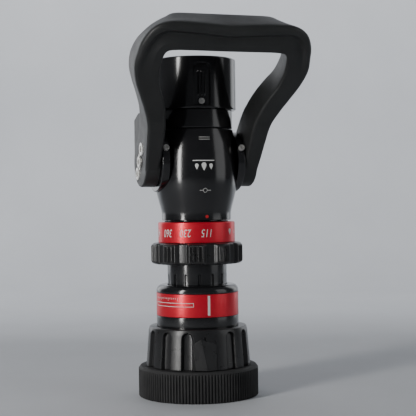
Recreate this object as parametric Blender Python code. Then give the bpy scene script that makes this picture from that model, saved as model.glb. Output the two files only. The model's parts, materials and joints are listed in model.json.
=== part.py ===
"""Selectable-flow fire hose nozzle with a bail handle, standing on its rubber bumper.

The nozzle's own axis is vertical: the bumper face is at z = 0 and the hose inlet is at the top.
The front of the nozzle, with its marks and its index line, faces -Y.  The bail turns about an
axis along X.  Sizes are in millimetres and become metres where meshes are made.
"""
import math

import bmesh
import bpy
from mathutils import Matrix, Vector

MM = 0.001

# ---- Driving dimensions, in millimetres and degrees ----------------------------------------
GAP = 0.3                      # clearance between neighbouring pieces
AXIS_Y = 22.75                # nozzle axis behind the middle of the whole outline
FRONT = -90.0                  # direction of the index line around the axis

BUMPER_R, BUMPER_TOP = 46.0, 22.9
GRIP_TOP, GRIP_R_TOP, GRIP_R_BOTTOM = 52.9, 37.3, 39.7
GRIP_DIVISIONS, GRIP_GROOVE = 14, 3.6
GRIP_CENTRE = FRONT - 3.8      # the grooves sit a little to one side of the pointer
SIDES = 32                     # facets around the plain turned pieces
SLEEVE_R, BAND_BOTTOM, BAND_TOP = 31.3, 61.3, 78.3
COLLAR_TOP = 84.4
FOG_TEETH = 14
BARREL_R, BARREL_BORE = 22.7, 18.2
BARREL_BOTTOM, BARREL_TOP = 36.0, 155.4
KEYWAYS, KEY_DEPTH = 14, 1.2
KEY_CENTRE = FRONT - 180.0 / KEYWAYS   # a land, not a keyway, is at the front
FLOW_BOTTOM, FLOW_TOP, FLOW_R, FLOW_LOBES, FLOW_LOBE_DEPTH = 100.0, 116.1, 35.2, 10, 2.4
DIAL_TOP, DIAL_R = 131.8, 29.3
BODY_BOTTOM, BODY_TOP, BODY_BORE = 133.0, 201.4, 26.0
TAIL_TOP_OF_NECK, TAIL_NECK_R = 215.9, 28.2
COUPLING_BOTTOM, COUPLING_TOP, COUPLING_R = 216.2, 255.0, 31.2
THREAD_BORE = 24.8
RACE_Z, RACE_R = 221.5, 26.25

PIVOT_Z = 177.5
BOSS_R, BOSS_FACE = 22.9, 32.5
BALL_R, PORT_R = 24.3, 17.3
TRUNNION_R, BUSHING_R, TRUNNION_BORE, SQUARE_HALF = 6.0, 7.7, 8.0, 4.6
METER_Z, PIN_R = 110.0, 1.5

BAIL_LEAN = 40.0               # bail away from the inlet, towards the front, valve open
HUB_R, HUB_INNER, HUB_OUTER = 19.0, 32.8, 43.8
EAR_SIDE = "left"                # only this hub has the upright ear behind its arm
UPPER_SCREW, LOWER_SCREW = 12.0, -11.5
SCREW_HEAD_R, SCREW_SHANK_R, HEAD_FLOOR = 5.0, 2.6, 41.6
# the bail's four long edges, from the hub to the middle of the crossbar, as (x, z) in the plane
# of the bail: front outer, front inner, rear outer, rear inner
BAIL_STATIONS = (
    ((43.6, 0.0), (33.2, 0.0), (43.6, 0.0), (33.2, 0.0)),
    ((45.2, 16.0), (33.2, 16.0), (44.4, 16.0), (33.2, 16.0)),
    ((46.2, 30.0), (33.1, 30.0), (46.4, 30.0), (33.0, 30.0)),
    ((47.6, 43.0), (33.7, 43.0), (49.4, 43.0), (33.8, 43.0)),
    ((52.0, 56.0), (36.2, 56.0), (54.2, 56.0), (37.6, 56.0)),
    ((57.2, 68.0), (40.0, 68.0), (59.2, 68.0), (43.4, 68.0)),
    ((62.0, 79.5), (44.0, 78.0), (62.3, 78.0), (48.8, 77.0)),
    ((65.1, 92.0), (46.0, 90.0), (62.8, 89.0), (51.4, 88.0)),
    ((64.6, 103.0), (45.6, 99.0), (60.2, 98.6), (51.0, 96.0)),
    ((62.6, 112.6), (44.6, 103.6), (56.0, 105.2), (48.6, 101.6)),
    ((56.6, 122.4), (42.4, 105.9), (50.0, 111.8), (44.6, 105.4)),
    ((47.6, 127.6), (38.0, 106.6), (42.0, 117.6), (39.0, 107.6)),
    ((34.0, 128.0), (31.0, 106.8), (33.0, 122.0), (31.0, 108.4)),
    ((0.0, 125.4), (0.0, 106.6), (0.0, 122.4), (0.0, 108.4)),
)
BAIL_WIDTH_HUB, BAIL_WIDTH_ARM, BAIL_WIDTH_BAR = 37.6, 25.5, 28.0
BAIL_ARM_START, BAIL_BAR_START = 46.0, 126.0   # where those widths are reached along the arms
BAIL_CHAMFERS = (2.4, 2.0, 2.0, 2.6)   # front outer, front inner, rear inner, rear outer

# ---- Materials: colour, roughness, metallic --------------------------------------------------
FINISHES = {
    "black_anodised": ((0.012, 0.012, 0.014), 0.22, 0.9),
    "red_anodised": ((0.55, 0.012, 0.03), 0.3, 0.9),
    "black_nylon": ((0.02, 0.02, 0.022), 0.35, 0.0),
    "bail_black": ((0.022, 0.023, 0.023), 0.5, 0.0),
    "bumper_rubber": ((0.03, 0.03, 0.031), 0.75, 0.0),
    "seal_rubber": ((0.015, 0.015, 0.015), 0.6, 0.0),
    "stainless": ((0.55, 0.55, 0.53), 0.25, 1.0),
    "seat_polymer": ((0.75, 0.74, 0.7), 0.45, 0.0),
    "bronze": ((0.42, 0.27, 0.11), 0.35, 1.0),
    "index_red": ((0.6, 0.02, 0.03), 0.4, 0.0),
}


def clear_scene():
    """Remove every object and material that the scene starts with."""
    for thing in list(bpy.data.objects):
        bpy.data.objects.remove(thing, do_unlink=True)
    for finish in list(bpy.data.materials):
        bpy.data.materials.remove(finish)


def make_material(node, finish):
    """Give a node its own Principled material in one of the finishes."""
    colour, roughness, metallic = FINISHES[finish]
    material = bpy.data.materials.new(node + "_" + finish)
    material.use_nodes = True
    shader = material.node_tree.nodes["Principled BSDF"]
    shader.inputs["Base Color"].default_value = (*colour, 1.0)
    shader.inputs["Roughness"].default_value = roughness
    shader.inputs["Metallic"].default_value = metallic
    return material


# ---- Mesh helpers ----------------------------------------------------------------------------
def even_angles(count, start=0.0):
    """Angles in degrees, evenly spaced around the axis."""
    return [start + 360.0 * step / count for step in range(count)]


def pattern_angles(divisions, offsets, centre=0.0):
    """Angles in degrees where the same offsets repeat in every division of the circle."""
    return [centre + 360.0 * step / divisions + offset
            for step in range(divisions) for offset in offsets]


def near_division(angle, divisions, centre, half_width):
    """1 where an angle lies within half_width of a division's centre, else 0."""
    pitch = 360.0 / divisions
    offset = (angle - centre + pitch / 2) % pitch - pitch / 2
    return 1.0 if abs(offset) <= half_width else 0.0


def turned_mesh(name, profile, angles, cut=None, closed=True):
    """Turn a profile about Z.  Its points are (radius, z) or (radius, z, depth): the radius
    loses that depth wherever cut(angle) is 1.  An open profile starts and ends on the axis."""
    mesh_builder = bmesh.new()
    columns = []
    for angle in angles:
        turn = math.radians(angle)
        column = []
        for point in profile:
            radius = point[0]
            if len(point) == 3:
                radius -= point[2] * cut(angle)
            place = Vector((radius * math.cos(turn), radius * math.sin(turn), point[1])) * MM
            column.append(mesh_builder.verts.new(place))
        columns.append(column)
    last = len(profile) if closed else len(profile) - 1
    for column, following in zip(columns, columns[1:] + columns[:1]):
        for low in range(last):
            high = (low + 1) % len(profile)
            mesh_builder.faces.new((column[low], following[low], following[high], column[high]))
    bmesh.ops.remove_doubles(mesh_builder, verts=mesh_builder.verts, dist=1e-6)
    bmesh.ops.recalc_face_normals(mesh_builder, faces=mesh_builder.faces)
    mesh = bpy.data.meshes.new(name)
    mesh_builder.to_mesh(mesh)
    mesh_builder.free()
    return mesh


def lofted_mesh(name, sections):
    """Join closed sections, lists of the same number of points in mm, and cap both ends."""
    mesh_builder = bmesh.new()
    rings = [[mesh_builder.verts.new(Vector(point) * MM) for point in section]
             for section in sections]
    count = len(rings[0])
    for ring, following in zip(rings, rings[1:]):
        for corner in range(count):
            beside = (corner + 1) % count
            mesh_builder.faces.new((ring[corner], ring[beside], following[beside], following[corner]))
    mesh_builder.faces.new(rings[0])
    mesh_builder.faces.new(rings[-1])
    bmesh.ops.recalc_face_normals(mesh_builder, faces=mesh_builder.faces)
    mesh = bpy.data.meshes.new(name)
    mesh_builder.to_mesh(mesh)
    mesh_builder.free()
    return mesh


def rod_mesh(name, steps, sides=24, phase=0.0):
    """A solid turned about X from steps of (x, radius); it starts and ends on the axis."""
    profile = [(0.0, steps[0][0])] + [(radius, x) for x, radius in steps] + [(0.0, steps[-1][0])]
    mesh = turned_mesh(name, profile, even_angles(sides, phase), closed=False)
    mesh.transform(Matrix.Rotation(math.radians(90), 4, "Y"))
    return mesh


def box_mesh(name, low, high):
    """A box between two corners in mm."""
    bottom = [(low[0], low[1], low[2]), (high[0], low[1], low[2]),
              (high[0], high[1], low[2]), (low[0], high[1], low[2])]
    top = [(x, y, high[2]) for x, y, _ in bottom]
    return lofted_mesh(name, (bottom, top))


def prism_mesh(name, outline, low, high):
    """An outline of (y, z) points in mm, extruded along X from low to high."""
    return lofted_mesh(name, ([(low, y, z) for y, z in outline], [(high, y, z) for y, z in outline]))


def joined_mesh(name, meshes):
    """Several separate shapes in one mesh, for a cutter."""
    mesh_builder = bmesh.new()
    for mesh in meshes:
        mesh_builder.from_mesh(mesh)
    joined = bpy.data.meshes.new(name)
    mesh_builder.to_mesh(joined)
    mesh_builder.free()
    return joined


def radial(mesh, angle, height):
    """Turn a shape made along +X to point outwards at an angle and a height."""
    turn = Matrix.Rotation(math.radians(angle), 4, "Z")
    mesh.transform(Matrix.Translation((0, 0, height * MM)) @ turn)
    return mesh


# ---- Object helpers --------------------------------------------------------------------------
def add_frame(name, location, parent=None, rotation=(0, 0, 0)):
    """An empty that carries the pieces of one body, placed on that body's axis."""
    frame = bpy.data.objects.new(name, None)
    bpy.context.scene.collection.objects.link(frame)
    frame.location = Vector(location) * MM
    frame.rotation_euler = rotation
    frame.parent = parent
    return frame


def add_node(name, mesh, finish, parent):
    """One sub-part: an object with its own material, carried by its body's empty."""
    node = bpy.data.objects.new(name, mesh)
    bpy.context.scene.collection.objects.link(node)
    node.parent = parent
    mesh.materials.append(make_material(name, finish))
    mesh.shade_smooth()
    mesh.set_sharp_from_angle(angle=math.radians(35))
    return node


def combine(target, mesh, operation="DIFFERENCE"):
    """Cut a shape out of a node, or join it on, with a Boolean whose tool stays hidden."""
    tool = bpy.data.objects.new(target.name + "_tool_" + mesh.name, mesh)
    bpy.context.scene.collection.objects.link(tool)
    tool.parent = target.parent
    tool.hide_render = True
    tool.display_type = "WIRE"
    step = target.modifiers.new(mesh.name, "BOOLEAN")
    step.operation = operation
    step.object = tool
    return target


# ---- Tip: bumper, grip, sleeve, band and collar ----------------------------------------------
def make_tip(sleeve_frame, guide_frame):
    """Everything that turns and slides on the barrel to shape the stream."""
    bumper = [(33.5, 0.0), (44.6, 0.0), (BUMPER_R, 1.4), (BUMPER_R, 20.9), (44.2, BUMPER_TOP),
              (36.1, BUMPER_TOP), (36.1, 4.4), (33.0, 4.4), (33.0, 0.5)]
    add_node("bumper_ring", turned_mesh("bumper_ring", bumper, even_angles(SIDES)),
             "bumper_rubber", sleeve_frame)

    def groove(angle):
        """Grooves between the lugs; the one under the pointer is left out."""
        from_front = (angle - FRONT + 180.0) % 360.0 - 180.0
        if abs(from_front) < 8.0:
            return 0.0
        return near_division(angle, GRIP_DIVISIONS, GRIP_CENTRE, 5.0)

    grip = [(31.1, 4.7), (35.8, 4.7), (35.8, 23.3), (GRIP_R_BOTTOM, 23.3, GRIP_GROOVE),
            (GRIP_R_BOTTOM, 24.6, GRIP_GROOVE), (37.9, 47.0, GRIP_GROOVE), (37.6, 50.2),
            (GRIP_R_TOP, 51.6), (36.1, GRIP_TOP), (31.1, GRIP_TOP)]
    grip_angles = pattern_angles(GRIP_DIVISIONS, (-5.9, -4.5, 4.5, 5.9), GRIP_CENTRE)
    add_node("tip_grip", turned_mesh("tip_grip", grip, grip_angles, groove),
             "black_nylon", sleeve_frame)

    def tooth(angle):
        """Gaps between the moulded teeth that break the stream into fog."""
        return near_division(angle, FOG_TEETH, FRONT, 4.4)

    teeth = [(30.3, 5.0), (30.3, 13.6), (27.8, 13.6), (25.4, 11.0, -2.6), (25.4, 5.0, -2.6)]
    teeth_angles = pattern_angles(FOG_TEETH, (-6.2, -4.4, 4.4, 6.2), FRONT)
    add_node("fog_teeth_ring", turned_mesh("fog_teeth_ring", teeth, teeth_angles, tooth),
             "bumper_rubber", sleeve_frame)

    sleeve = [(28.7, 14.0), (30.7, 14.0), (30.7, 53.3), (SLEEVE_R, 53.3), (SLEEVE_R, 61.0),
              (28.3, 61.0), (28.3, 78.3), (26.2, 78.3), (26.2, 66.6), (24.4, 66.6), (24.4, 44.0)]
    add_node("pattern_sleeve", turned_mesh("pattern_sleeve", sleeve, even_angles(SIDES)),
             "black_anodised", sleeve_frame)

    band = [(28.6, BAND_BOTTOM), (SLEEVE_R, BAND_BOTTOM), (SLEEVE_R, BAND_TOP), (28.6, BAND_TOP)]
    add_node("pattern_band", turned_mesh("pattern_band", band, even_angles(SIDES)),
             "red_anodised", sleeve_frame)

    collar = [(23.1, 74.5), (25.8, 74.5), (25.8, 78.6), (31.2, 78.6), (31.2, 80.2), (30.2, 82.4),
              (27.6, COLLAR_TOP), (23.1, COLLAR_TOP), (23.1, 83.0), (25.4, 83.0), (25.4, 80.0),
              (23.1, 80.0)]
    add_node("sleeve_collar", turned_mesh("sleeve_collar", collar, even_angles(SIDES)),
             "black_anodised", sleeve_frame)
    add_node("collar_seal", seal_mesh("collar_seal", 24.15, 81.5, 1.0, 24), "seal_rubber", sleeve_frame)

    def key(angle):
        """Keys that run in the barrel's keyways."""
        return near_division(angle, KEYWAYS, KEY_CENTRE, 1.8)

    guide = [(25.9, 67.0), (25.9, 73.8), (23.0, 73.8, KEY_DEPTH - 0.1), (23.0, 67.0, KEY_DEPTH - 0.1)]
    guide_angles = pattern_angles(KEYWAYS, (-1.9, -1.7, 1.7, 1.9), KEY_CENTRE)
    add_node("guide_ring", turned_mesh("guide_ring", guide, guide_angles, key), "bronze", guide_frame)


def seal_mesh(name, middle, height, thickness, sides):
    """An O-ring about Z with a section of four sides."""
    section = [(middle + thickness * math.cos(math.radians(turn)),
                height + thickness * math.sin(math.radians(turn))) for turn in range(0, 360, 90)]
    return turned_mesh(name, section, even_angles(sides))


# ---- Barrel and what it holds ----------------------------------------------------------------
def make_barrel(root_frame):
    """The tube from the valve body to the tip, with its keyways and the metering pin's slot."""
    def keyway(angle):
        """Keyways that the guide ring slides in."""
        return near_division(angle, KEYWAYS, KEY_CENTRE, 2.8)

    barrel = [(BARREL_BORE, BARREL_TOP), (21.7, BARREL_TOP), (21.7, 132.7), (BARREL_R, 132.7),
              (BARREL_R, 102.2), (24.6, 102.2), (24.6, 100.4), (BARREL_R, 100.4), (BARREL_R, 92.6),
              (BARREL_R, 92.4, KEY_DEPTH), (BARREL_R, 64.0, KEY_DEPTH), (BARREL_R, 63.8),
              (BARREL_R, 37.0), (21.7, BARREL_BOTTOM), (17.6, BARREL_BOTTOM), (16.8, 44.0),
              (BARREL_BORE, 60.0)]
    angles = pattern_angles(KEYWAYS, (-2.9, -2.7, 2.7, 2.9), KEY_CENTRE)
    node = add_node("barrel", turned_mesh("barrel", barrel, angles, keyway), "black_anodised",
                    root_frame)
    slot_low, slot_high = METER_Z - PIN_R - GAP, METER_Z + PIN_R + GAP
    slot = [(BARREL_BORE - 2, slot_low), (BARREL_R + 2, slot_low), (BARREL_R + 2, slot_high),
            (BARREL_BORE - 2, slot_high)]
    sections = []
    for angle in range(-98, 51, 8):
        turn = math.radians(angle)
        sections.append([(radius * math.cos(turn), radius * math.sin(turn), z) for radius, z in slot])
    combine(node, lofted_mesh("pin_slot", sections))
    add_node("barrel_seal", seal_mesh("barrel_seal", 23.9, 132.0, 0.5, 24), "seal_rubber", root_frame)

    def vane(angle):
        """The spider's three vanes."""
        return near_division(angle, 3, FRONT, 8.0)

    stem = [(0.0, 121.0), (3.0, 119.0), (4.0, 114.0), (4.0, 101.2), (6.5, 101.0, -11.3),
            (6.5, 95.0, -11.3), (4.0, 94.8), (4.0, 31.0), (3.0, 30.8), (3.0, 15.0), (0.0, 15.0)]
    stem_angles = pattern_angles(3, (-10.0, -8.0, 8.0, 10.0, 40.0, 60.0, 80.0), FRONT)
    add_node("stem", turned_mesh("stem", stem, stem_angles, vane, closed=False), "stainless",
             root_frame)
    baffle = [(3.4, 30.4), (6.0, 30.4), (12.0, 27.2), (16.8, 22.6), (17.2, 20.6), (16.4, 19.5),
              (3.4, 19.5)]
    add_node("baffle_head", turned_mesh("baffle_head", baffle, even_angles(28)), "black_anodised",
             root_frame)
    nut = [(4.0, 14.6), (7.0, 14.6), (7.0, 19.2), (4.0, 19.2)]
    add_node("baffle_nut", turned_mesh("baffle_nut", nut, even_angles(6)), "stainless", root_frame)


# ---- Flow selector ---------------------------------------------------------------------------
def make_flow_selector(flow_frame):
    """The lugged grip, its red dial and the metering disc they turn through a pin."""
    def lobe(angle):
        """Valleys between the grip's lobes."""
        pitch = 360.0 / FLOW_LOBES
        offset = abs((angle - FRONT + pitch / 2) % pitch - pitch / 2)
        return 1.0 if offset < 5.0 else 0.0

    neck_r = 26.2
    grip = [(24.9, FLOW_BOTTOM), (33.7, FLOW_BOTTOM, FLOW_LOBE_DEPTH),
            (FLOW_R, FLOW_BOTTOM + 1.6, FLOW_LOBE_DEPTH), (FLOW_R, FLOW_TOP - 1.6, FLOW_LOBE_DEPTH),
            (33.7, FLOW_TOP, FLOW_LOBE_DEPTH), (neck_r, FLOW_TOP), (neck_r, 131.3),
            (23.0, 131.3), (23.0, 102.8), (24.9, 102.8)]
    angles = pattern_angles(FLOW_LOBES, (-8.5, -4.5, 4.5, 8.5, 18.0), FRONT)
    node = add_node("flow_grip", turned_mesh("flow_grip", grip, angles, lobe), "black_nylon",
                    flow_frame)
    pin_angle = FRONT
    pin_hole = radial(rod_mesh("pin_hole", ((20.0, PIN_R + GAP), (29.0, PIN_R + GAP)), 12),
                      pin_angle, METER_Z)
    combine(node, pin_hole)
    detent_z, detent_angle = 124.0, 60.0
    detent_hole = radial(rod_mesh("detent_hole", ((21.0, 1.8), (28.0, 1.8)), 12),
                         detent_angle, detent_z)
    combine(node, detent_hole)
    ball = rod_mesh("detent_ball", [(24.6 - 1.5 * math.cos(math.radians(turn)),
                                     max(1.5 * math.sin(math.radians(turn)), 0.2))
                                    for turn in range(0, 181, 36)], 10)
    add_node("detent_ball", radial(ball, detent_angle, detent_z), "stainless", flow_frame)

    dial = [(26.5, 116.4), (DIAL_R, 116.4), (DIAL_R, 131.3), (28.8, DIAL_TOP), (26.5, DIAL_TOP)]
    add_node("flow_dial", turned_mesh("flow_dial", dial, even_angles(SIDES)), "red_anodised", flow_frame)

    disc = [(4.4, METER_Z - 3.5), (17.8, METER_Z - 3.5), (17.8, METER_Z + 3.5), (4.4, METER_Z + 3.5)]
    meter = add_node("metering_disc", turned_mesh("metering_disc", disc, even_angles(36)),
                     "bronze", flow_frame)
    ports = []
    for step in range(4):
        port = turned_mesh("port", [(0.0, METER_Z - 6), (3.9, METER_Z - 6), (3.9, METER_Z + 6),
                                    (0.0, METER_Z + 6)], even_angles(8), closed=False)
        turn = math.radians(FRONT + 45 + 90 * step)
        port.transform(Matrix.Translation(Vector((10.6 * math.cos(turn), 10.6 * math.sin(turn), 0))
                                          * MM))
        ports.append(port)
    combine(meter, joined_mesh("ports", ports))
    socket = radial(rod_mesh("pin_socket", ((13.0, PIN_R + GAP), (20.0, PIN_R + GAP)), 12),
                    pin_angle, METER_Z)
    combine(meter, socket)
    pin = rod_mesh("drive_pin", ((13.6, PIN_R), (28.4, PIN_R)), 12)
    add_node("drive_pin", radial(pin, pin_angle, METER_Z), "stainless", flow_frame)


# ---- Valve body, tail and seats --------------------------------------------------------------
def body_radius(z):
    """Half-width of the ovoid body at a height: a cylinder that swells into an egg."""
    foot_r, foot_z = 26.4, 138.6
    widest_r, widest_z, top_r = 31.9, 168.0, 28.6
    if z <= foot_z:
        return foot_r
    if z <= widest_z:
        share = (z - foot_z) / (widest_z - foot_z)
        return foot_r + (widest_r - foot_r) * math.sin(share * math.pi / 2) ** 1.25
    share = (z - widest_z) / (BODY_TOP - widest_z)
    return top_r + (widest_r - top_r) * math.cos(share * math.pi / 2)


def make_valve_body(root_frame):
    """The ovoid casting with its two side bosses, bored for the ball and the trunnions."""
    heights = [BODY_BOTTOM, 138.6, 143.0, 148.5, 155.0, 162.0, 170.0, 179.0, 187.5, 195.0, BODY_TOP]
    outline = [(0.0, BODY_BOTTOM)] + [(body_radius(z), z) for z in heights] + [(0.0, BODY_TOP)]
    body = add_node("valve_body", turned_mesh("valve_body", outline, even_angles(40), closed=False),
                    "black_anodised", root_frame)
    bosses = rod_mesh("bosses", ((-BOSS_FACE, BOSS_R), (BOSS_FACE, BOSS_R)), 32, 5.0)
    bosses.transform(Matrix.Translation((0, 0, PIVOT_Z * MM)))
    combine(body, bosses, "UNION")
    bore = turned_mesh("bore", [(0.0, 120.0), (22.0, 120.0), (22.0, 156.0), (BODY_BORE, 156.0),
                                (BODY_BORE, 215.0), (0.0, 215.0)], even_angles(32, 2.0), closed=False)
    combine(body, bore)
    dot_z, dot_r = 135.9, 1.2
    dot_hole = radial(rod_mesh("dot_hole", ((23.6, dot_r + GAP), (29.0, dot_r + GAP)), 12), FRONT, dot_z)
    combine(body, dot_hole)
    dot = radial(rod_mesh("index_dot", ((23.9, dot_r), (26.7, dot_r)), 12), FRONT, dot_z)
    add_node("index_dot", dot, "index_red", root_frame)

    make_stop_screws(root_frame, body)
    trunnion_bore = rod_mesh("trunnion_bore", ((-40.0, TRUNNION_BORE), (40.0, TRUNNION_BORE)), 20)
    trunnion_bore.transform(Matrix.Translation((0, 0, PIVOT_Z * MM)))
    combine(body, trunnion_bore)
    make_seats_and_tail(root_frame)


def make_seats_and_tail(root_frame):
    """The two ball seats and the tail that closes the body above them."""
    lower_seat = [(17.8, 156.3), (25.7, 156.3), (25.7, 166.0), (23.0, 166.0), (17.8, 160.2)]
    add_node("downstream_seat", turned_mesh("downstream_seat", lower_seat, even_angles(28)),
             "seat_polymer", root_frame)
    upper_seat = [(17.8, 198.7), (23.0, 198.7), (23.0, 190.2), (21.9, 190.2), (17.8, 194.9)]
    add_node("upstream_seat", turned_mesh("upstream_seat", upper_seat, even_angles(28)),
             "seat_polymer", root_frame)

    tail = [(18.0, 199.0), (23.3, 199.0), (23.3, 192.0), (25.7, 192.0), (25.7, 194.6),
            (24.6, 194.6), (24.6, 197.0), (25.7, 197.0), (25.7, 201.7), (27.4, 201.7),
            (TAIL_NECK_R, 202.5), (TAIL_NECK_R, TAIL_TOP_OF_NECK), (26.1, TAIL_TOP_OF_NECK),
            (26.1, 219.9), (24.6, 219.9), (24.6, 223.1), (26.1, 223.1), (26.1, 225.0), (24.9, 225.2),
            (24.9, 227.4), (26.1, 229.2), (20.0, 229.2), (18.0, 224.0)]
    add_node("inlet_tail", turned_mesh("inlet_tail", tail, even_angles(SIDES)), "black_anodised",
             root_frame)
    add_node("tail_seal", seal_mesh("tail_seal", 25.3, 195.8, 0.4, 24), "seal_rubber", root_frame)


def make_stop_screws(root_frame, body):
    """A small screw at the front of each boss, beside the hub's rim."""
    stop_angle = 24.0
    for side, sign in (("left", -1), ("right", 1)):
        stop = turned_mesh("stop_screw_" + side, [(0.0, 19.4), (1.5, 19.4), (1.5, 22.9), (2.3, 23.4),
                                                  (2.3, 24.6), (1.7, 25.2), (0.0, 25.2)],
                           even_angles(12), closed=False)
        hole = turned_mesh("stop_hole_" + side, [(0.0, 19.0), (1.8, 19.0), (1.8, 26.0), (0.0, 26.0)],
                           even_angles(12), closed=False)
        to_front = Matrix.Rotation(math.radians(90 - stop_angle), 4, "X")
        to_place = Matrix.Translation(Vector((sign * 29.6, 0, PIVOT_Z)) * MM) @ to_front
        stop.transform(to_place)
        hole.transform(to_place)
        combine(body, hole)
        add_node("stop_screw_" + side, stop, "stainless", root_frame)


# ---- Swivel coupling -------------------------------------------------------------------------
def make_coupling(coupling_frame):
    """The free-turning inlet with its bearing, gasket and screen."""
    recess_centre = FRONT - 7.7
    recesses = 4

    def recess(angle):
        """Shallow flats milled into the coupling's side."""
        return near_division(angle, recesses, recess_centre, 11.6)

    depth = 1.5
    coupling = [(26.4, COUPLING_BOTTOM), (30.4, COUPLING_BOTTOM), (COUPLING_R, 217.0),
                (COUPLING_R, 218.4), (COUPLING_R, 218.7, depth), (COUPLING_R, 248.8, depth),
                (COUPLING_R, 250.6), (COUPLING_R, 254.0), (30.2, COUPLING_TOP),
                (26.3, COUPLING_TOP), (THREAD_BORE, 253.5), (THREAD_BORE, 233.0), (26.0, 233.0),
                (26.0, 229.4), (26.4, 229.4), (26.4, 223.1), (27.9, 223.1), (27.9, 219.9),
                (26.4, 219.9)]
    angles = pattern_angles(recesses, (-12.4, -11.4, 0.0, 11.4, 12.4, 23.0, 34.0, 45.0, 56.0, 67.0),
                            recess_centre)
    node = add_node("swivel_coupling", turned_mesh("swivel_coupling", coupling, angles, recess),
                    "black_anodised", coupling_frame)
    port = radial(rod_mesh("ball_port", ((27.0, 2.6), (33.0, 2.6)), 16), recess_centre, RACE_Z)
    combine(node, port)
    screw = rod_mesh("ball_port_screw", ((28.3, 2.3), (30.1, 2.3), (30.4, 2.0)), 16)
    add_node("ball_port_screw", radial(screw, recess_centre, RACE_Z), "stainless", coupling_frame)

    balls, steps, ball_r, link_r = 14, 3, 1.25, 0.55
    bearing = bmesh.new()
    rings = []
    for step in range(balls * steps):
        turn = 2 * math.pi * step / (balls * steps)
        swell = link_r if step % steps == 0 else ball_r
        ring = []
        for side in range(6):
            tilt = math.radians(60 * side)
            reach = RACE_R + swell * math.cos(tilt)
            place = Vector((reach * math.cos(turn), reach * math.sin(turn),
                            RACE_Z + swell * math.sin(tilt)))
            ring.append(bearing.verts.new(place * MM))
        rings.append(ring)
    for ring, following in zip(rings, rings[1:] + rings[:1]):
        for side in range(6):
            beside = (side + 1) % 6
            bearing.faces.new((ring[side], ring[beside], following[beside], following[side]))
    bmesh.ops.recalc_face_normals(bearing, faces=bearing.faces)
    bearing_mesh = bpy.data.meshes.new("swivel_bearing")
    bearing.to_mesh(bearing_mesh)
    bearing.free()
    add_node("swivel_bearing", bearing_mesh, "stainless", coupling_frame)

    add_node("swivel_seal", seal_mesh("swivel_seal", 25.6, 226.2, 0.45, 24), "seal_rubber",
             coupling_frame)
    gasket = [(18.3, 229.6), (25.6, 229.6), (25.6, 232.6), (18.3, 232.6)]
    add_node("inlet_gasket", turned_mesh("inlet_gasket", gasket, even_angles(28)), "seal_rubber",
             coupling_frame)
    plate = [(0.0, 233.3), (24.3, 233.3), (24.3, 234.3), (0.0, 234.3)]
    screen = add_node("inlet_screen",
                      turned_mesh("inlet_screen", plate, even_angles(36), closed=False),
                      "stainless", coupling_frame)
    holes = []
    for ring, count in ((0.0, 1), (14.0, 6)):
        for step in range(count):
            hole = turned_mesh("hole", [(0.0, 230.0), (6.0, 230.0), (6.0, 237.0), (0.0, 237.0)],
                               even_angles(8, 11.0), closed=False)
            turn = 2 * math.pi * step / count
            hole.transform(Matrix.Translation(Vector((ring * math.cos(turn), ring * math.sin(turn), 0))
                                              * MM))
            holes.append(hole)
    combine(screen, joined_mesh("holes", holes))


# ---- Bail, trunnions and ball ----------------------------------------------------------------
def bail_width(along):
    """Front-to-back width of the bail: as wide as the hub at the pivot, slimmer along the arm."""
    if along < BAIL_ARM_START:
        share = 1.0 - along / BAIL_ARM_START
        return BAIL_WIDTH_ARM + (BAIL_WIDTH_HUB - BAIL_WIDTH_ARM) * share
    share = (along - BAIL_ARM_START) / (BAIL_BAR_START - BAIL_ARM_START)
    return BAIL_WIDTH_ARM + (BAIL_WIDTH_BAR - BAIL_WIDTH_ARM) * share


def bail_section(station, side):
    """Eight points across the bail at one station: its four edges, each chamfered."""
    front_outer, front_inner, rear_outer, rear_inner = station
    width = bail_width(front_outer[1])
    corners = [Vector((side * x, depth * width / 2, z)) for (x, z), depth in
               ((front_outer, -1), (front_inner, -1), (rear_inner, 1), (rear_outer, 1))]
    points = []
    for index, chamfer in enumerate(BAIL_CHAMFERS):
        corner = corners[index]
        for neighbour in (corners[index - 1], corners[(index + 1) % 4]):
            points.append(corner + (neighbour - corner).normalized() * chamfer)
    return points


def bail_mesh():
    """The loop from hub to hub."""
    left = [bail_section(station, -1) for station in BAIL_STATIONS]
    right = [bail_section(station, 1) for station in BAIL_STATIONS[-2::-1]]
    return lofted_mesh("bail_loop", left + right)


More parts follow.
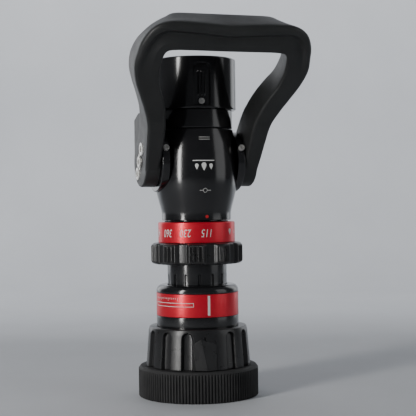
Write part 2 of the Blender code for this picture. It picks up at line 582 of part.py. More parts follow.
def make_bail(bail_frame):
    """The handle with its hubs; its frame's Z runs along the arms."""
    bail = add_node("bail_handle", bail_mesh(), "bail_black", bail_frame)
    lean = math.radians(BAIL_LEAN)
    ear_outline = []
    for forward, up in ((-19.0, 4.0), (-19.0, 32.6), (-6.0, 37.2), (14.0, 30.0), (4.0, 4.0)):
        along = forward * math.sin(lean) + up * math.cos(lean)
        behind = -forward * math.cos(lean) + up * math.sin(lean)
        ear_outline.append((behind, along))
    for side, sign in (("left", -1), ("right", 1)):
        inset = 1.2
        hub = rod_mesh("hub_" + side, ((sign * HUB_INNER, HUB_R), (sign * (HUB_OUTER - inset), HUB_R),
                                       (sign * HUB_OUTER, HUB_R - inset)), 32, 5.6)
        combine(bail, hub, "UNION")
        if side == EAR_SIDE:
            ear_low, ear_high = sorted((sign * (HUB_INNER + 0.9), sign * (HUB_OUTER - 0.6)))
            combine(bail, prism_mesh("ear", ear_outline, ear_low, ear_high), "UNION")
        hole_half = SQUARE_HALF + GAP + 0.2
        hole_low, hole_high = sorted((sign * 30.0, sign * 46.0))
        drive = box_mesh("drive_" + side, (hole_low, -hole_half, -hole_half),
                         (hole_high, hole_half, hole_half))
        combine(bail, drive)
        for place, height in (("upper", UPPER_SCREW), ("lower", LOWER_SCREW)):
            steps = sorted(((sign * 31.0, SCREW_SHANK_R + GAP), (sign * HEAD_FLOOR, SCREW_SHANK_R + GAP)))
            shank_hole = rod_mesh("hole_" + side + place, steps, 10)
            shank_hole.transform(Matrix.Translation((0, 0, height * MM)))
            combine(bail, shank_hole)
            head_steps = sorted(((sign * (HEAD_FLOOR - 0.01), SCREW_HEAD_R + GAP),
                                 (sign * 46.0, SCREW_HEAD_R + GAP)))
            seat = rod_mesh("seat_" + side + place, head_steps, 16)
            seat.transform(Matrix.Translation((0, 0, height * MM)))
            combine(bail, seat)
            proud = 1.7 if place == "upper" else 0.7
            screw_steps = [(sign * 33.4, SCREW_SHANK_R), (sign * (HEAD_FLOOR + GAP), SCREW_SHANK_R),
                           (sign * (HEAD_FLOOR + GAP), SCREW_HEAD_R),
                           (sign * (HUB_OUTER + proud - 0.7), SCREW_HEAD_R),
                           (sign * (HUB_OUTER + proud), SCREW_HEAD_R - 0.9)]
            screw = rod_mesh("handle_screw_" + place + "_" + side, screw_steps, 16)
            screw.transform(Matrix.Translation((0, 0, height * MM)))
            add_node("handle_screw_" + place + "_" + side, screw, "stainless", bail_frame)
        make_trunnion(bail_frame, side, sign)


def make_trunnion(bail_frame, side, sign):
    """One trunnion: a tongue in the ball's slot, a round journal and a square end in the hub."""
    journal = rod_mesh("trunnion_" + side, ((sign * 24.9, TRUNNION_R), (sign * 32.4, TRUNNION_R)), 24)
    node = add_node("trunnion_" + side, journal, "stainless", bail_frame)
    tongue_low, tongue_high = sorted((sign * 19.2, sign * 25.5))
    tongue = box_mesh("tongue_" + side, (tongue_low, -2.5, -5.0), (tongue_high, 2.5, 5.0))
    combine(node, tongue, "UNION")
    square_low, square_high = sorted((sign * 32.3, sign * (HUB_OUTER + 0.7)))
    square = box_mesh("square_" + side, (square_low, -SQUARE_HALF, -SQUARE_HALF),
                      (square_high, SQUARE_HALF, SQUARE_HALF))
    combine(node, square, "UNION")


def make_journals(root_frame, side, sign):
    """The bushing and the seal that one trunnion turns in."""
    low, high = sorted((sign * 28.1, sign * 32.2))
    bushing = turned_mesh("bushing_" + side, [(6.3, low), (BUSHING_R, low), (BUSHING_R, high),
                                              (6.3, high)], even_angles(24))
    bushing.transform(Matrix.Translation((0, 0, PIVOT_Z * MM)) @ Matrix.Rotation(math.pi / 2, 4, "Y"))
    add_node("trunnion_bushing_" + side, bushing, "bronze", root_frame)
    seal = seal_mesh("trunnion_seal_" + side, 7.0, sign * 27.2, 0.65, 24)
    seal.transform(Matrix.Translation((0, 0, PIVOT_Z * MM)) @ Matrix.Rotation(math.pi / 2, 4, "Y"))
    add_node("trunnion_seal_" + side, seal, "seal_rubber", root_frame)


def make_ball(ball_frame):
    """The valve ball with its waterway along Z when open and a slot for each trunnion."""
    sphere = bmesh.new()
    bmesh.ops.create_uvsphere(sphere, u_segments=28, v_segments=14, radius=BALL_R * MM)
    mesh = bpy.data.meshes.new("valve_ball")
    sphere.to_mesh(mesh)
    sphere.free()
    ball = add_node("valve_ball", mesh, "stainless", ball_frame)
    port = turned_mesh("waterway", [(0.0, -30.0), (PORT_R, -30.0), (PORT_R, 30.0), (0.0, 30.0)],
                       even_angles(32, 4.5), closed=False)
    combine(ball, port)
    lean = Matrix.Rotation(math.radians(BAIL_LEAN), 4, "X")
    for sign in (-1, 1):
        slot_low, slot_high = sorted((sign * 18.8, sign * 30.0))
        slot = box_mesh("slot", (slot_low, -2.8, -5.4), (slot_high, 2.8, 5.4))
        slot.transform(lean)
        combine(ball, slot)


def main():
    """Build the nozzle, body by body."""
    clear_scene()
    axis = (0.0, AXIS_Y, 0.0)
    root = add_frame("valve_frame", axis)
    guide = add_frame("guide_frame", (0, 0, 0), root)
    sleeve = add_frame("sleeve_frame", (0, 0, 0), guide)
    flow = add_frame("flow_frame", (0, 0, 0), root)
    coupling = add_frame("coupling_frame", (0, 0, 0), root)
    ball = add_frame("ball_frame", (0, 0, PIVOT_Z), root)
    bail = add_frame("bail_frame", (0, 0, 0), ball, (math.radians(BAIL_LEAN), 0, 0))
    make_tip(sleeve, guide)
    make_barrel(root)
    make_flow_selector(flow)
    make_valve_body(root)
    for side, sign in (("left", -1), ("right", 1)):
        make_journals(root, side, sign)
    make_coupling(coupling)
    make_ball(ball)
    make_bail(bail)


main()
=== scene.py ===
"""Looks for a selectable-flow fire hose nozzle with a bail handle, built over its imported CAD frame."""

import json
import math

import bmesh
import bpy
import numpy as np
from mathutils import Matrix, Vector


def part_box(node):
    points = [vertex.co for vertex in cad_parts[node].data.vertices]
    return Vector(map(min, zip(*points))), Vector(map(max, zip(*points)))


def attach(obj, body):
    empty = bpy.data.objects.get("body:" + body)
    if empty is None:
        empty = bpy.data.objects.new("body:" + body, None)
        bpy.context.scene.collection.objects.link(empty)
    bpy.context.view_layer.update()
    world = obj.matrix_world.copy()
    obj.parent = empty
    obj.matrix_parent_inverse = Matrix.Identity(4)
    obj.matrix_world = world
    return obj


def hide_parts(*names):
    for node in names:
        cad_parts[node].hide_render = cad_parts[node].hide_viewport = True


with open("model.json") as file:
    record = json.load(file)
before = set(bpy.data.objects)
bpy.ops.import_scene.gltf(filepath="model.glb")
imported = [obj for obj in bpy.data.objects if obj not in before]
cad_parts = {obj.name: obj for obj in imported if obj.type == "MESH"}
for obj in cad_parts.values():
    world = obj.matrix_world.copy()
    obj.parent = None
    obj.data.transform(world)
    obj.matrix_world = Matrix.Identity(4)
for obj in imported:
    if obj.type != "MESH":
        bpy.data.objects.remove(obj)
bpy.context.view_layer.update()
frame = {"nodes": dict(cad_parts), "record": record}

MM = 0.001
FRONT = -90.0
bumper_low, bumper_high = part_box("bumper_ring")
AXIS_Y = (bumper_low.y + bumper_high.y) / 2 / MM
PIVOT_Z = 177.5
BAIL_LEAN = math.radians(40.0)
KEYWAYS = 14
GRIP_GROOVES = 14
FOG_TEETH = 14
BARREL_R = 22.7
SWIVEL_R = 31.2
BAND_R = 31.3
DIAL_R = 29.3
HUB_R, HUB_OUTER = 19.0, 43.8
HANDLE_SCREWS = (("upper", 12.0, 1.7), ("lower", -11.5, 0.7))
BAIL_WIDTH_HUB, BAIL_WIDTH_ARM, BAIL_WIDTH_BAR = 37.6, 25.5, 28.0
BAIL_ARM_START, BAIL_BAR_START = 46.0, 126.0
VIEW_TURN = 17.5
CAMERA_DISTANCE, CAMERA_HEIGHT, CAMERA_ROLL = 0.835, 0.146, -0.76
SENSOR_MM, LENS_MM = 36.0, 94.4135
LENS_SHIFT_X, LENS_SHIFT_Y = 0.0283654, -0.0120192


# ---- Materials ------------------------------------------------------------------------------
class Nodes:
    """Short calls for building one node tree."""

    def __init__(self, name):
        self.material = bpy.data.materials.new(name)
        self.material.use_nodes = True
        self.tree = self.material.node_tree
        self.shader = self.tree.nodes["Principled BSDF"]

    def add(self, kind, values=None, **settings):
        node = self.tree.nodes.new(kind)
        for key, value in settings.items():
            setattr(node, key, value)
        for key, value in (values or {}).items():
            node.inputs[key].default_value = value
        return node

    def link(self, source, target):
        self.tree.links.new(source, target)

    def set(self, **values):
        for key, value in values.items():
            self.shader.inputs[key.replace("_", " ")].default_value = value


def finish_material(name, dark, light, rough, metal=0.0, grain=900.0, grain_bump=0.02, turned=0.0,
                    coat=0.0, cloud=35.0, specular=0.5):
    """A surface with cloudy colour, uneven gloss, a fine grain and, on turned metal, lathe lines."""
    n = Nodes(name)
    place = n.add("ShaderNodeTexCoord")
    clouds = n.add("ShaderNodeTexNoise", {"Scale": cloud, "Detail": 6.0, "Roughness": 0.6})
    n.link(place.outputs["Object"], clouds.inputs["Vector"])
    colour = n.add("ShaderNodeValToRGB")
    colour.color_ramp.elements[0].position = 0.3
    colour.color_ramp.elements[0].color = (*dark, 1)
    colour.color_ramp.elements[1].position = 0.72
    colour.color_ramp.elements[1].color = (*light, 1)
    n.link(clouds.outputs["Fac"], colour.inputs["Fac"])
    n.link(colour.outputs["Color"], n.shader.inputs["Base Color"])
    gloss = n.add("ShaderNodeMapRange", {"From Min": 0.25, "From Max": 0.75, "To Min": rough[0],
                                         "To Max": rough[1]})
    smudge = n.add("ShaderNodeTexNoise", {"Scale": cloud * 2.3, "Detail": 8.0, "Roughness": 0.7})
    n.link(place.outputs["Object"], smudge.inputs["Vector"])
    n.link(smudge.outputs["Fac"], gloss.inputs["Value"])
    n.link(gloss.outputs["Result"], n.shader.inputs["Roughness"])
    fine = n.add("ShaderNodeTexNoise", {"Scale": grain, "Detail": 3.0, "Roughness": 0.6})
    n.link(place.outputs["Object"], fine.inputs["Vector"])
    bump = n.add("ShaderNodeBump", {"Strength": grain_bump, "Distance": 0.0004})
    n.link(fine.outputs["Fac"], bump.inputs["Height"])
    last = bump
    if turned:
        lines = n.add("ShaderNodeTexWave", {"Scale": 520.0, "Distortion": 0.6, "Detail": 2.0},
                      wave_type="BANDS", bands_direction="Z")
        n.link(place.outputs["Object"], lines.inputs["Vector"])
        last = n.add("ShaderNodeBump", {"Strength": turned, "Distance": 0.0002})
        n.link(lines.outputs["Fac"], last.inputs["Height"])
        n.link(bump.outputs["Normal"], last.inputs["Normal"])
    n.link(last.outputs["Normal"], n.shader.inputs["Normal"])
    n.set(Metallic=metal, Coat_Weight=coat, Coat_Roughness=0.12, Specular_IOR_Level=specular)
    return n.material


MATERIALS = {
    "black_anodised": finish_material("anodised_black", (0.006, 0.006, 0.007), (0.011, 0.011, 0.012),
                                      (0.13, 0.2), 0.0, 1400, 0.02, 0.05, 0.3, 60),
    "red_anodised": finish_material("anodised_red", (0.62, 0.009, 0.026), (0.78, 0.014, 0.038),
                                    (0.3, 0.38), 0.5, 1600, 0.03, 0.16, 0.15, 45),
    "black_nylon": finish_material("moulded_nylon", (0.012, 0.012, 0.0125), (0.019, 0.019, 0.02),
                                   (0.24, 0.36), 0.0, 1100, 0.06, 0.0, 0.0, 60),
    "bail_black": finish_material("bail_black", (0.018, 0.0187, 0.0187), (0.025, 0.0258, 0.0258),
                                  (0.4, 0.52), 0.0, 1500, 0.16, 0.0, 0.0, 40, 0.4),
    "bumper_rubber": finish_material("bumper_rubber", (0.022, 0.022, 0.0225), (0.034, 0.034, 0.0345),
                                     (0.62, 0.8), 0.0, 800, 0.25, 0.0, 0.0, 70, 0.35),
    "seal_rubber": finish_material("seal_rubber", (0.012, 0.012, 0.012), (0.018, 0.018, 0.018),
                                   (0.45, 0.6), 0.0, 900, 0.1),
    "stainless": finish_material("stainless", (0.6, 0.59, 0.56), (0.78, 0.77, 0.74), (0.22, 0.4), 0.7,
                                 1800, 0.06, 0.0, 0.0, 120),
    "seat_polymer": finish_material("seat_polymer", (0.68, 0.67, 0.62), (0.76, 0.75, 0.7),
                                    (0.4, 0.5), 0.0, 900, 0.04),
    "bronze": finish_material("bronze", (0.34, 0.21, 0.08), (0.46, 0.3, 0.13), (0.28, 0.42), 1.0,
                              1200, 0.05, 0.08),
    "index_red": finish_material("index_red", (0.45, 0.01, 0.015), (0.6, 0.02, 0.025), (0.3, 0.4)),
}
WHITE_PRINT = finish_material("white_print", (0.62, 0.62, 0.6), (0.74, 0.74, 0.72), (0.45, 0.6),
                              0.0, 1500, 0.08)
GREY_PRINT = finish_material("grey_print", (0.33, 0.33, 0.32), (0.44, 0.44, 0.42), (0.4, 0.55),
                             0.0, 1500, 0.08)


# ---- Mesh helpers ---------------------------------------------------------------------------
def soften(points, steps=4):
    """Round the corners of an outline whose points are (r, z) or (r, z, rounding), in mm."""
    result = []
    count = len(points)
    for index, point in enumerate(points):
        here = Vector(point[:2])
        rounding = point[2] if len(point) > 2 else 0.0
        if rounding == 0.0:
            result.append(tuple(here))
            continue
        before = Vector(points[index - 1][:2]) - here
        after = Vector(points[(index + 1) % count][:2]) - here
        reach = min(rounding, before.length * 0.49, after.length * 0.49)
        first, last = here + before.normalized() * reach, here + after.normalized() * reach
        for step in range(steps + 1):
            share = step / steps
            result.append(tuple(first * (1 - share) ** 2 + here * 2 * share * (1 - share)
                                + last * share ** 2))
    return result


def divide(points, longest, low=-1e9, high=1e9):
    """Split the edges between two heights until none is longer than a limit."""
    result = []
    for index in range(len(points)):
        here = Vector(points[index])
        result.append(tuple(here))
        following = Vector(points[(index + 1) % len(points)])
        middle = (here.y + following.y) / 2
        pieces = math.ceil((following - here).length / longest) if low < middle < high else 1
        for step in range(1, pieces):
            result.append(tuple(here.lerp(following, step / pieces)))
    return result


def turned(name, profile, count, shape=None, closed=True):
    """Turn a profile about the nozzle's axis; shape(angles, radii, heights) gives new radii."""
    angles = 360.0 * np.arange(count) / count
    radii = np.array([point[0] for point in profile])
    heights = np.array([point[1] for point in profile])
    grid_angle, grid_radius = np.meshgrid(angles, radii, indexing="ij")
    grid_height = np.meshgrid(angles, heights, indexing="ij")[1]
    if shape is not None:
        grid_radius = shape(grid_angle, grid_radius, grid_height)
    turn = np.radians(grid_angle)
    places = np.stack((grid_radius * np.cos(turn), grid_radius * np.sin(turn) + AXIS_Y,
                       grid_height), -1).reshape(-1, 3) * MM
    levels = len(profile)
    last = levels if closed else levels - 1
    faces = []
    for column in range(count):
        following = (column + 1) % count
        for level in range(last):
            above = (level + 1) % levels
            faces.append((column * levels + level, following * levels + level,
                          following * levels + above, column * levels + above))
    mesh = bpy.data.meshes.new(name)
    mesh.from_pydata(places.tolist(), [], faces)
    return tidy(mesh)


def tidy(mesh, sharp=38.0):
    """Merge doubled points, turn the faces outwards and shade them smooth up to an angle."""
    work = bmesh.new()
    work.from_mesh(mesh)
    bmesh.ops.remove_doubles(work, verts=work.verts, dist=2e-6)
    bmesh.ops.recalc_face_normals(work, faces=work.faces)
    work.to_mesh(mesh)
    work.free()
    mesh.shade_smooth()
    mesh.set_sharp_from_angle(angle=math.radians(sharp))
    return mesh


def lofted(name, sections):
    """Join closed sections of points and close both ends."""
    count = len(sections[0])
    places = [tuple(point) for section in sections for point in section]
    faces = []
    for ring in range(len(sections) - 1):
        for corner in range(count):
            beside = (corner + 1) % count
            faces.append((ring * count + corner, ring * count + beside,
                          (ring + 1) * count + beside, (ring + 1) * count + corner))
    faces.append(tuple(range(count)))
    faces.append(tuple(range((len(sections) - 1) * count, len(sections) * count)))
    mesh = bpy.data.meshes.new(name)
    mesh.from_pydata(places, [], faces)
    return tidy(mesh)


def piece(name, mesh, body, slot=None, stands_for=(), material=None):
    """Place a mesh as one piece that rides on a body."""
    shown = bpy.data.objects.new(name, mesh)
    bpy.context.scene.collection.objects.link(shown)
    mesh.materials.clear()
    mesh.materials.append(material or MATERIALS[slot])
    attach(shown, body)
    if stands_for:
        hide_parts(*stands_for)
    return shown


def boolean(target_mesh, tool_mesh, operation, name):
    """The mesh that a Boolean of two meshes gives."""
    target = bpy.data.objects.new(name + "_work", target_mesh)
    tool = bpy.data.objects.new(name + "_tool", tool_mesh)
    for thing in (target, tool):
        bpy.context.scene.collection.objects.link(thing)
    step = target.modifiers.new("cut", "BOOLEAN")
    step.operation = operation
    step.solver = "EXACT"
    step.object = tool
    graph = bpy.context.evaluated_depsgraph_get()
    mesh = bpy.data.meshes.new_from_object(target.evaluated_get(graph))
    for thing in (target, tool):
        bpy.data.objects.remove(thing)
    return tidy(mesh)


def joined(name, meshes):
    """Several meshes in one."""
    work = bmesh.new()
    for mesh in meshes:
        work.from_mesh(mesh)
    result = bpy.data.meshes.new(name)
    work.to_mesh(result)
    work.free()
    return result


def repeat_offset(angles, divisions, centre):
    """Angle in degrees from the nearest of evenly spaced centres."""
    pitch = 360.0 / divisions
    return (angles - centre + pitch / 2) % pitch - pitch / 2


def ease(values, low, high):
    """Smooth step from 0 at low to 1 at high."""
    share = np.clip((values - low) / (high - low), 0, 1)
    return share * share * (3 - 2 * share)


def steel_screw(name, head_r, head_h, socket_r, depth, dome=0.35):
    """A socket screw's head along +X with its seat at 0: rounded rim, hexagonal socket."""
    sides = 48
    outline = [(head_r * 0.96, -0.6), (head_r, -0.4), (head_r, head_h - dome),
               (head_r - dome * 0.4, head_h - dome * 0.25), (head_r - dome, head_h)]
    rings = []
    for radius, x in outline:
        rings.append([(x, radius * math.cos(2 * math.pi * step / sides),
                       radius * math.sin(2 * math.pi * step / sides)) for step in range(sides)])
    for grow, x in ((1.12, head_h), (1.0, head_h - 0.15), (1.0, head_h - depth), (0.05, head_h - depth)):
        ring = []
        for step in range(sides):
            turn = 2 * math.pi * step / sides
            within = (turn + math.pi / 6) % (math.pi / 3) - math.pi / 6
            radius = socket_r * grow / math.cos(within) * math.cos(math.pi / 6)
            ring.append((x, radius * math.cos(turn), radius * math.sin(turn)))
        rings.append(ring)
    sections = [[Vector(point) * MM for point in ring] for ring in rings]
    return lofted(name, sections)


def place_mesh(mesh, matrix):
    """The mesh, moved by a matrix."""
    mesh.transform(matrix)
    return mesh


def round_edges(shown, width, degrees, harden=True):
    """Bevel the edges of a piece that are sharper than an angle."""
    bevel = shown.modifiers.new("edges", "BEVEL")
    bevel.width = width * MM
    bevel.segments = 3
    bevel.limit_method = "ANGLE"
    bevel.angle_limit = math.radians(degrees)
    bevel.harden_normals = harden


# ---- Tip ------------------------------------------------------------------------------------
def make_bumper():
    """Ribbed rubber ring with a smooth bevel at its top."""
    def ribs(angles, radii, heights):
        offset = np.abs(repeat_offset(angles, 120, FRONT))
        gap = ease(offset, 0.6, 0.95) * 1.15
        zone = ease(heights, 0.0, 0.3) * (1 - ease(heights, 20.7, 21.1)) * (radii > 44.4)
        return radii - gap * zone

    profile = soften([(33.5, 0.0, 0.3), (44.8, 0.0, 0.2), (45.6, 0.6, 0.2), (45.6, 20.9), (45.5, 21.1),
                      (45.1, 21.6, 0.3), (44.2, 22.9, 0.4), (36.1, 22.9, 0.2), (36.1, 4.4), (33.0, 4.4),
                      (33.0, 0.5)])
    profile = divide(profile, 4.0, 0.9, 20.6)
    piece("bumper", turned("bumper", profile, 960, ribs), "tip", "bumper_rubber", ("bumper_ring",))

    def teeth(angles, radii, heights):
        offset = np.abs(repeat_offset(angles, FOG_TEETH, FRONT))
        inner = radii < 29.0
        return radii + 2.6 * (1 - ease(offset, 4.4, 6.6)) * inner * ease(13.6 - heights, 0.0, 2.0)

    ring = soften([(30.3, 5.0), (30.3, 13.6), (27.8, 13.6, 0.5), (25.4, 11.0, 1.5), (25.4, 5.0, 1.0)])
    piece("fog_teeth", turned("fog_teeth", divide(ring, 1.2), 420, teeth), "tip", "bumper_rubber",
          ("fog_teeth_ring",))


GRIP_CENTRE = FRONT - 3.8


def grip_radius(height):
    """Outside of the tip grip between its grooves."""
    return 39.7 - (height - 24.6) * (39.7 - 37.7) / (50.2 - 24.6)


def make_tip_grip():
    """Moulded grip with rounded grooves between its lugs."""
    def grooves(angles, radii, heights):
        offset = repeat_offset(angles, GRIP_GROOVES, GRIP_CENTRE)
        across = np.abs(offset) * math.pi / 180 * 38.5
        from_front = (angles - FRONT + 180) % 360 - 180
        half = 4.3
        arch = 50.6 - half
        reach = np.where(heights > arch, np.hypot(across, heights - arch), across)
        depth = 1 - ease(reach, half - 1.1, half + 0.25)
        bed = 1 - 0.22 * (np.clip(across / half, 0, 1) ** 2)
        outer = radii > 36.6
        kept = np.abs(from_front) < 9
        return radii - np.where(outer & ~kept, 3.3 * depth * bed, 0.0)

    profile = soften([(31.1, 4.7), (35.8, 4.7), (35.8, 23.3), (39.75, 23.3, 0.2), (37.75, 49.6, 2.2),
                      (37.0, 52.3, 1.0), (36.4, 52.9, 0.3), (31.1, 52.9)])
    profile = divide(profile, 0.55, 24.0, 52.6)
    piece("tip_grip_moulding", turned("tip_grip_moulding", profile, 1008, grooves), "tip",
          "black_nylon", ("tip_grip",))

    corners = {"apex": (3.8, 46.4, 1.1), "left": (-6.0, 42.2, 0.45), "right": (20.4, 42.2, 0.45),
               "low_left": (-3.0, 23.4, 0.45), "low_right": (20.0, 23.4, 0.45),
               "ridge": (9.6, 23.4, 3.3)}
    spots = {}
    for key, (degrees, height, rise) in corners.items():
        turn = math.radians(view_angle(degrees))
        radius = grip_radius(height) + rise
        spots[key] = Vector((radius * math.cos(turn), radius * math.sin(turn) + AXIS_Y, height)) * MM
    order = list(spots)
    places = [spots[key] for key in order]
    inner = len(places)
    middle = Vector((0, AXIS_Y, 35.0)) * MM
    places += [spot.lerp(middle, 0.07) for spot in places]
    index = {key: position for position, key in enumerate(order)}
    top = [("apex", "left", "low_left", "ridge"), ("apex", "ridge", "low_right", "right")]
    faces = [tuple(index[key] for key in face) for face in top]
    faces += [tuple(index[key] + inner for key in reversed(face)) for face in top]
    rim = ["apex", "right", "low_right", "ridge", "low_left", "left"]
    for first, second in zip(rim, rim[1:] + rim[:1]):
        faces.append((index[first], index[second], index[second] + inner, index[first] + inner))
    mesh = bpy.data.meshes.new("tip_pointer")
    mesh.from_pydata([tuple(place) for place in places], [], faces)
    pointer = piece("tip_pointer", tidy(mesh, 20.0), "tip", "black_nylon")
    round_edges(pointer, 0.3, 8, harden=False)


def make_sleeve():
    """Sleeve, red band, rounded collar."""
    sleeve = soften([(28.7, 14.0), (30.7, 14.0, 0.3), (30.7, 53.3), (31.3, 53.3, 0.2), (31.3, 61.1, 0.25),
                     (28.3, 61.1), (28.3, 78.3), (26.2, 78.3), (26.2, 66.6), (24.4, 66.6), (24.4, 44.0)])
    piece("sleeve", turned("sleeve", sleeve, 224), "tip", "black_anodised", ("pattern_sleeve",))
    band = soften([(28.6, 61.3), (BAND_R, 61.3, 0.3), (BAND_R, 78.3, 0.3), (28.6, 78.3)])
    piece("red_band", turned("red_band", band, 224), "tip", "red_anodised", ("pattern_band",))
    collar = soften([(23.1, 74.5), (25.8, 74.5), (25.8, 78.6), (31.25, 78.6, 0.2), (31.2, 81.2, 2.4),
                     (28.9, 84.35, 2.2), (23.6, 84.4, 0.4), (23.1, 84.0), (23.1, 83.0), (25.4, 83.0),
                     (25.4, 80.0), (23.1, 80.0)], steps=7)
    piece("collar", turned("collar", collar, 224), "tip", "black_anodised", ("sleeve_collar",))


# ---- Printed marks --------------------------------------------------------------------------
def wrapped(name, flat_mesh, angle, height, radius, flip=False):
    """Wrap a flat mesh, in mm with x across and y up, on a turned surface of radius(z)."""
    sign = -1.0 if flip else 1.0
    lift = 0.06
    for vertex in flat_mesh.vertices:
        across, up = vertex.co.x * sign, vertex.co.y * sign
        z = height + up
        r = radius(z) + lift
        turn = math.radians(angle) + across / radius(height)
        vertex.co = Vector((r * math.cos(turn), r * math.sin(turn) + AXIS_Y, z)) * MM
    flat_mesh.name = name
    work = bmesh.new()
    work.from_mesh(flat_mesh)
    bmesh.ops.remove_doubles(work, verts=work.verts, dist=1e-7)
    bmesh.ops.recalc_face_normals(work, faces=work.faces)
    work.faces.ensure_lookup_table()
    face = work.faces[0]
    outward = face.calc_center_median() - Vector((0, AXIS_Y * MM, face.calc_center_median().z))
    if face.normal.dot(outward) < 0:
        bmesh.ops.reverse_faces(work, faces=work.faces)
    work.to_mesh(flat_mesh)
    work.free()
    return flat_mesh


def flat_rectangles(rectangles, step=0.8):
    """A flat mesh of rectangles (x0, y0, x1, y1) in mm, split so that they can be wrapped."""
    places, faces = [], []
    for x0, y0, x1, y1 in rectangles:
        columns = max(1, math.ceil(abs(x1 - x0) / step))
        rows = max(1, math.ceil(abs(y1 - y0) / 2.0))
        base = len(places)
        for row in range(rows + 1):
            for column in range(columns + 1):
                places.append((x0 + (x1 - x0) * column / columns, y0 + (y1 - y0) * row / rows, 0))
        for row in range(rows):
            for column in range(columns):
                corner = base + row * (columns + 1) + column
                faces.append((corner, corner + 1, corner + columns + 2, corner + columns + 1))
    mesh = bpy.data.meshes.new("flat")
    mesh.from_pydata(places, [], faces)
    return mesh


def flat_path(points, width, closed=True):
    """A flat stroke of a width along points in mm."""
    places, faces = [], []
    count = len(points)
    for index in range(count):
        here = Vector(points[index])
        before = Vector(points[index - 1]) if closed or index else here
        after = Vector(points[(index + 1) % count]) if closed or index < count - 1 else here
        along = (after - before).normalized()
        side = Vector((-along.y, along.x)) * width / 2
        places += [(*(here + side), 0), (*(here - side), 0)]
    last = count if closed else count - 1
    for index in range(last):
        following = (index + 1) % count
        faces.append((2 * index, 2 * index + 1, 2 * following + 1, 2 * following))
    mesh = bpy.data.meshes.new("stroke")
    mesh.from_pydata(places, [], faces)
    return mesh


def flat_fill(points):
    """A flat filled outline, as a fan about its middle."""
    middle = sum((Vector(point) for point in points), Vector((0, 0))) / len(points)
    places = [(*point, 0) for point in points] + [(*middle, 0)]
    count = len(points)
    mesh = bpy.data.meshes.new("fill")
    mesh.from_pydata(places, [], [(index, (index + 1) % count, count) for index in range(count)])
    return mesh


def drop_outline(size, steps=28):
    """The outline of a water drop, its tip up."""
    points = []
    for step in range(steps):
        turn = 2 * math.pi * step / steps
        points.append((size * 0.42 * math.sin(turn) * math.sin(turn / 2) ** 1.5,
                       size * 0.5 * math.cos(turn)))
    return points


def numeral(text, height, shear=0.18, squeeze=0.72):
    """A flat mesh of a number, in mm, centred."""
    curve = bpy.data.curves.new("numeral", "FONT")
    curve.body = text
    curve.size = height * 1.38
    curve.align_x = "CENTER"
    curve.align_y = "CENTER"
    curve.shear = shear
    curve.resolution_u = 4
    carrier = bpy.data.objects.new("numeral", curve)
    bpy.context.scene.collection.objects.link(carrier)
    bpy.context.view_layer.update()
    graph = bpy.context.evaluated_depsgraph_get()
    mesh = bpy.data.meshes.new_from_object(carrier.evaluated_get(graph))
    bpy.data.objects.remove(carrier)
    for vertex in mesh.vertices:
        vertex.co.x *= squeeze
    work = bmesh.new()
    work.from_mesh(mesh)
    bmesh.ops.remove_doubles(work, verts=work.verts, dist=1e-4)
    work.to_mesh(mesh)
    work.free()
    return mesh


def band_radius(_):
    """Outside of the lower red band, the same at every height."""
    return BAND_R


def dial_radius(_):
    """Outside of the flow dial, the same at every height."""
    return DIAL_R


def view_angle(degrees):
    """World angle of a direction seen at these degrees to the right of the camera."""
    return degrees - 90.0 - VIEW_TURN


def make_band_marks():
    """White index line, a long outlined bar and a row of graduation ticks."""
    height = 69.8
    line = wrapped("line", flat_rectangles([(-0.9, -7.0, 0.9, 7.6)]), view_angle(15.7), height,
                   band_radius)
    rim = 0.42
    long = 38.0
    bar = flat_rectangles([(-long, -1.5, 0, -1.5 + rim), (-long, 1.5 - rim, 0, 1.5),
                           (-rim, -1.5, 0, 1.5), (-long, -1.5, -long + rim, 1.5)])
    bar = wrapped("bar", bar, view_angle(-5.0), 70.6, band_radius)
    ticks = []
    for step in range(15):
        tall = 2.3 if step % 5 == 0 else 1.3
        ticks.append((-step * 1.75 - 0.2, 2.3 - tall, -step * 1.75 + 0.2, 2.3))
    ticks = wrapped("ticks", flat_rectangles(ticks), view_angle(-28.0), 73.6, band_radius)
    piece("band_marks", joined("band_marks", [line, bar, ticks]), "tip", material=WHITE_PRINT)


def make_dial_marks():
    """Flow numerals, upright when the tip points up, and a drop mark."""
    meshes = []
    for text, angle in (("115", -91.5), ("230", -123.5), ("360", -154.0), ("475", -186.0)):
        meshes.append(wrapped("number", numeral(text, 6.0), angle, 123.9, dial_radius, flip=True))
    drop = flat_fill(drop_outline(5.0))
    meshes.append(wrapped("drop", drop, view_angle(58.0), 124.2, dial_radius, flip=True))
    arrow = flat_path([(-1.2, -1.4), (0.6, 0.0), (-1.2, 1.4)], 0.5, closed=False)
    meshes.append(wrapped("arrow", arrow, view_angle(71.0), 124.2, dial_radius, flip=True))
    piece("dial_marks", joined("dial_marks", meshes), "flow_selector", material=WHITE_PRINT)


